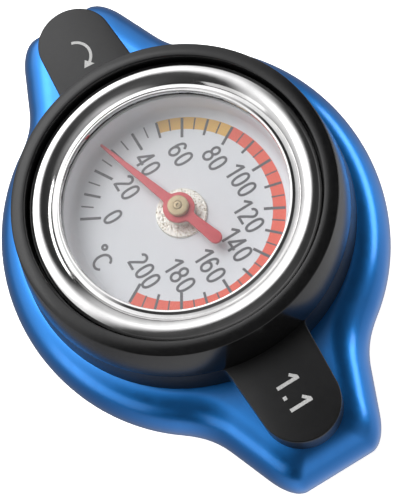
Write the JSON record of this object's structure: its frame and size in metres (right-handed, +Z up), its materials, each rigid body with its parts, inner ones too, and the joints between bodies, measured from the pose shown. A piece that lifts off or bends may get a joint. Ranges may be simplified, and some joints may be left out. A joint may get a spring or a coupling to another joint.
{
  "type": "radiator cap thermometer",
  "caption": "Bayonet radiator pressure cap with a winged cover, a dial thermometer in its top, a probe below, and sprung pressure and vacuum valves.",
  "frame": {"origin": "centre of the upper gasket's face, where the cap rests on the rim of the filler neck", "axes": "+Z up out of the neck towards the dial, +X along the wings, +Y towards the top of the dial's numbers"},
  "size_m": [0.0804, 0.0556, 0.0492],
  "materials": {
    "blue_anodised": "satin blue anodised",
    "black_anodised": "matte black anodised",
    "black_ring": "fine matte black",
    "bezel_chrome": "polished chrome plate",
    "lens_glass": "clear",
    "black_rubber": "moulded",
    "spacer_grey": "satin grey",
    "dial_paint": "matte light dial paint",
    "bush_metal": "pitted pale plate",
    "pointer_red": "red enamel",
    "brass": "turned",
    "spring_steel": "drawn wire and thin sheet",
    "bimetal": "rolled strip",
    "case_steel": "pressed",
    "fibre": "vulcanised fibre",
    "zinc_steel": "zinc plated",
    "plated_steel": "yellow passivated zinc"
  },
  "bodies": {
    "cap_body": {"wing_cover": "blue_anodised", "label_plate": "black_anodised", "gauge_ring": "black_ring", "bezel": "bezel_chrome", "lens": "lens_glass", "lens_gasket": "black_rubber", "dial_spacer": "spacer_grey", "dial_plate": "dial_paint", "dial_bush": "bush_metal", "spindle_guide": "brass", "bimetal_coil": "bimetal", "gauge_case": "case_steel", "stem_tube": "brass", "probe_plug": "brass", "case_seal": "fibre", "stem_nut": "brass", "stem_washer": "zinc_steel", "cap_shell": "plated_steel", "spring_disc": "spring_steel", "neck_gasket": "black_rubber", "valve_cage": "plated_steel", "pressure_spring": "spring_steel"},
    "pointer_set": {"pointer": "pointer_red", "pointer_cap": "brass", "spindle": "spring_steel"},
    "pressure_valve_set": {"valve_plate": "plated_steel", "pressure_seal": "black_rubber", "vacuum_spring": "spring_steel"},
    "vacuum_valve_set": {"vacuum_valve": "brass", "vacuum_clip": "zinc_steel"}
  },
  "joints": [
    {"name": "pointer_turn", "type": "hinge", "parent": "cap_body", "child": "pointer_set", "pos_m": [0, 0, 0.0095], "axis": [0, 0, 1], "range_deg": [-258, 42], "stiffness_Nm_per_rad": 0.00002},
    {"name": "pressure_lift", "type": "slide", "parent": "cap_body", "child": "pressure_valve_set", "axis": [0, 0, 1], "range_m": [0, 0.003], "stiffness_N_per_m": 6000, "springref_m": -0.011, "deforming": ["pressure_spring"]},
    {"name": "vacuum_drop", "type": "slide", "parent": "pressure_valve_set", "child": "vacuum_valve_set", "axis": [0, 0, 1], "range_m": [-0.002, 0], "stiffness_N_per_m": 100, "springref_m": 0.008, "deforming": ["vacuum_spring"]}
  ]
}
